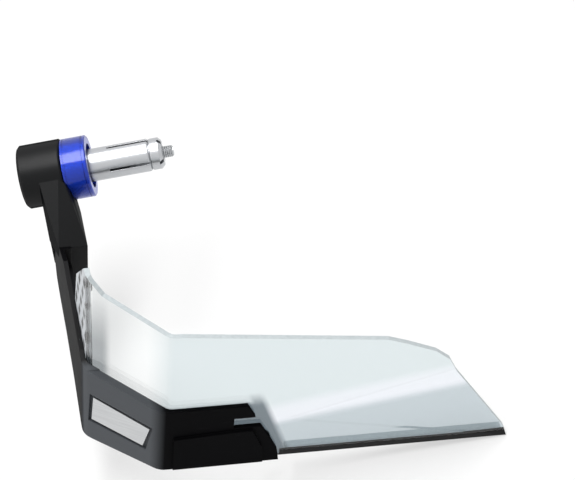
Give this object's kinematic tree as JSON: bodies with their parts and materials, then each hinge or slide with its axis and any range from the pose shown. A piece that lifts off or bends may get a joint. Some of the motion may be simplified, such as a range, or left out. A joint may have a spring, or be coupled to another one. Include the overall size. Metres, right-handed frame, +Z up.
{
  "type": "motorcycle hand guard",
  "caption": "Left-hand motorcycle hand guard: bar-end clamp, black bracket and blade, and a clear folded wind deflector.",
  "frame": {"origin": "centre of the collar's mouth on the bar's axis, where the end face of the handlebar comes to rest", "axes": "+X along the bar towards the middle of the motorcycle (the plug points that way), -Y forward, +Z up"},
  "size_m": [0.2168, 0.1706, 0.1337],
  "materials": {
    "black_nylon": "satin moulded",
    "blue_anodised": "anodised, knurled",
    "bare_aluminium": "turned",
    "brushed_aluminium": "brushed",
    "zinc_steel": "zinc plated",
    "clear_polycarbonate": "clear, slightly smoked",
    "brass_insert": "knurled",
    "black_washer": "moulded nylon"
  },
  "bodies": {
    "root": {"hub_bracket": "black_nylon", "collar": "blue_anodised", "expander_sleeve": "bare_aluminium", "wedge_nut": "bare_aluminium", "clamp_bolt": "zinc_steel", "lock_washer": "zinc_steel", "bolt_washer": "zinc_steel", "guard_blade": "black_nylon", "badge_plate": "brushed_aluminium", "wind_shield": "clear_polycarbonate", "bracket_screw": "zinc_steel", "bracket_washer": "black_washer", "bracket_insert": "brass_insert", "flap_screw": "zinc_steel", "flap_washer": "black_washer", "flap_insert": "brass_insert", "corner_screw": "zinc_steel", "corner_washer": "black_washer", "corner_insert": "brass_insert", "end_screw": "zinc_steel", "end_washer": "black_washer", "end_insert": "brass_insert"}
  },
  "joints": []
}
